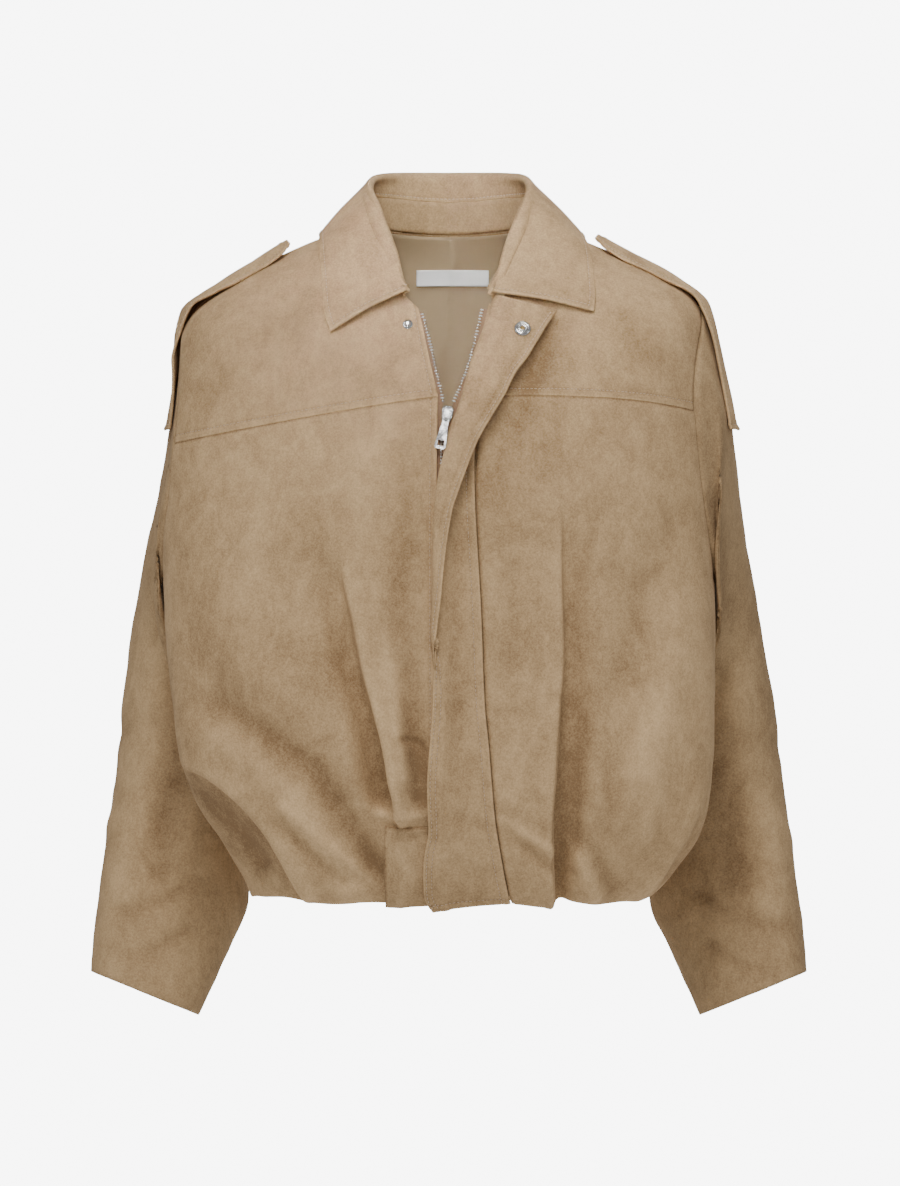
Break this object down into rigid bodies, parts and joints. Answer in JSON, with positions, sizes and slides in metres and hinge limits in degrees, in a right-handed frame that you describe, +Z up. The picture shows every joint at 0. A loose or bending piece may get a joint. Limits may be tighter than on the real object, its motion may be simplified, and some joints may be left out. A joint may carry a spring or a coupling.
{
  "type": "suede jacket",
  "caption": "Cropped suede blouson, zipped at the waist with its flap turned back at the top, filled out as worn but hollow, with an open neck, hem, armholes and cuffs.",
  "frame": {"origin": "between the shoulders at the height of the neck seam at the back, where the wearer's neck and shoulders carry the jacket", "axes": "+Z up, the front faces -Y, +X to the right as seen from the front"},
  "size_m": [0.5906, 0.3153, 0.6942],
  "materials": {
    "back": "brushed suede",
    "front_left": "brushed suede",
    "front_right": "brushed suede",
    "yoke_front_left": "brushed suede",
    "yoke_front_right": "brushed suede",
    "sleeve_left": "brushed suede",
    "sleeve_right": "brushed suede",
    "collar_stand": "brushed suede",
    "collar_leaf": "brushed suede",
    "front_flap": "brushed suede",
    "facing_right": "brushed suede",
    "zip_tape_left": "woven tape",
    "zip_tape_right": "woven tape",
    "waist_tab": "brushed suede",
    "epaulette_left": "brushed suede",
    "epaulette_right": "brushed suede",
    "lining_back": "smooth woven lining",
    "neck_label": "woven label, blank",
    "snap_stud": "polished",
    "snap_socket": "polished",
    "zip_slider": "polished",
    "zip_pull_tab": "polished"
  },
  "bodies": {
    "jacket": {"back": "back", "front_left": "front_left", "front_right": "front_right", "yoke_front_left": "yoke_front_left", "yoke_front_right": "yoke_front_right", "sleeve_left": "sleeve_left", "sleeve_right": "sleeve_right", "collar_stand": "collar_stand", "collar_leaf": "collar_leaf", "front_flap": "front_flap", "facing_right": "facing_right", "zip_tape_left": "zip_tape_left", "zip_tape_right": "zip_tape_right", "waist_tab": "waist_tab", "epaulette_left": "epaulette_left", "epaulette_right": "epaulette_right", "lining_back": "lining_back", "neck_label": "neck_label", "snap_stud": "snap_stud", "snap_socket": "snap_socket", "zip_slider": "zip_slider"},
    "pull_tab": {"zip_pull_tab": "zip_pull_tab"}
  },
  "joints": [
    {"name": "pull_tab_hinge", "type": "hinge", "parent": "jacket", "child": "pull_tab", "pos_m": [-0.00159, -0.12419, -0.14996], "axis": [-0.9786, 0.0475, 0.2003], "range_deg": [0, 150]}
  ]
}
